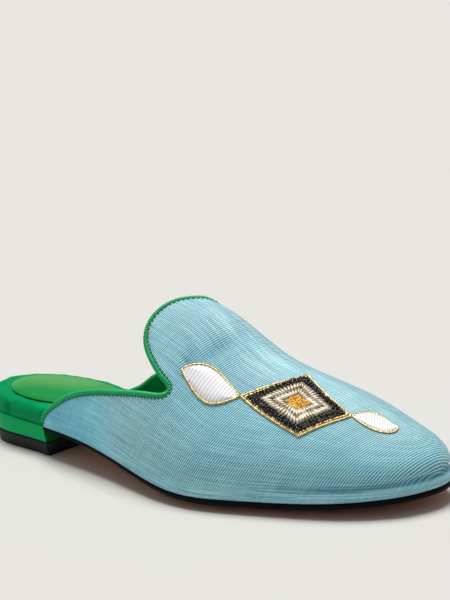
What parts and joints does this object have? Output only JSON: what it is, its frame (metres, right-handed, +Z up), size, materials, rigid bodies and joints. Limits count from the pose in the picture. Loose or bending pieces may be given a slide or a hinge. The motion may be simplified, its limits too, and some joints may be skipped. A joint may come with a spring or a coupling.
{
  "type": "mule",
  "caption": "Flat slip-on mule with a high ribbed fabric vamp, bound collar, padded footbed, low heel and raised embroidered motif.",
  "frame": {"origin": "middle of the bounding box's bottom face: the floor that the shoe stands on", "axes": "+X from heel to toe, +Y to the shoe's left, which is the inner (big toe) side of this right shoe, +Z up"},
  "size_m": [0.252, 0.085, 0.0755],
  "materials": {
    "outsole": "tan leather tread with a black-dyed edge",
    "heel_cover": "satin green leather wrap",
    "top_piece": "black rubber",
    "footbed_leather": "soft dark green leather over foam",
    "pad_leather": "smooth green leather",
    "ribbed_fabric": "ribbed sky-blue silk blend",
    "binding_leather": "rolled green leather",
    "beadwork": "glass beads and metal thread on a fabric ground",
    "satin_stitch": "white satin stitch edged with gold cord"
  },
  "bodies": {
    "root": {"outsole": "outsole", "heel_block": "heel_cover", "heel_top_piece": "top_piece", "footbed": "footbed_leather", "sock_pad": "pad_leather", "upper": "ribbed_fabric", "collar_binding": "binding_leather", "motif_lozenge": "beadwork", "motif_leaf_rear": "satin_stitch", "motif_leaf_front": "satin_stitch"}
  },
  "joints": []
}
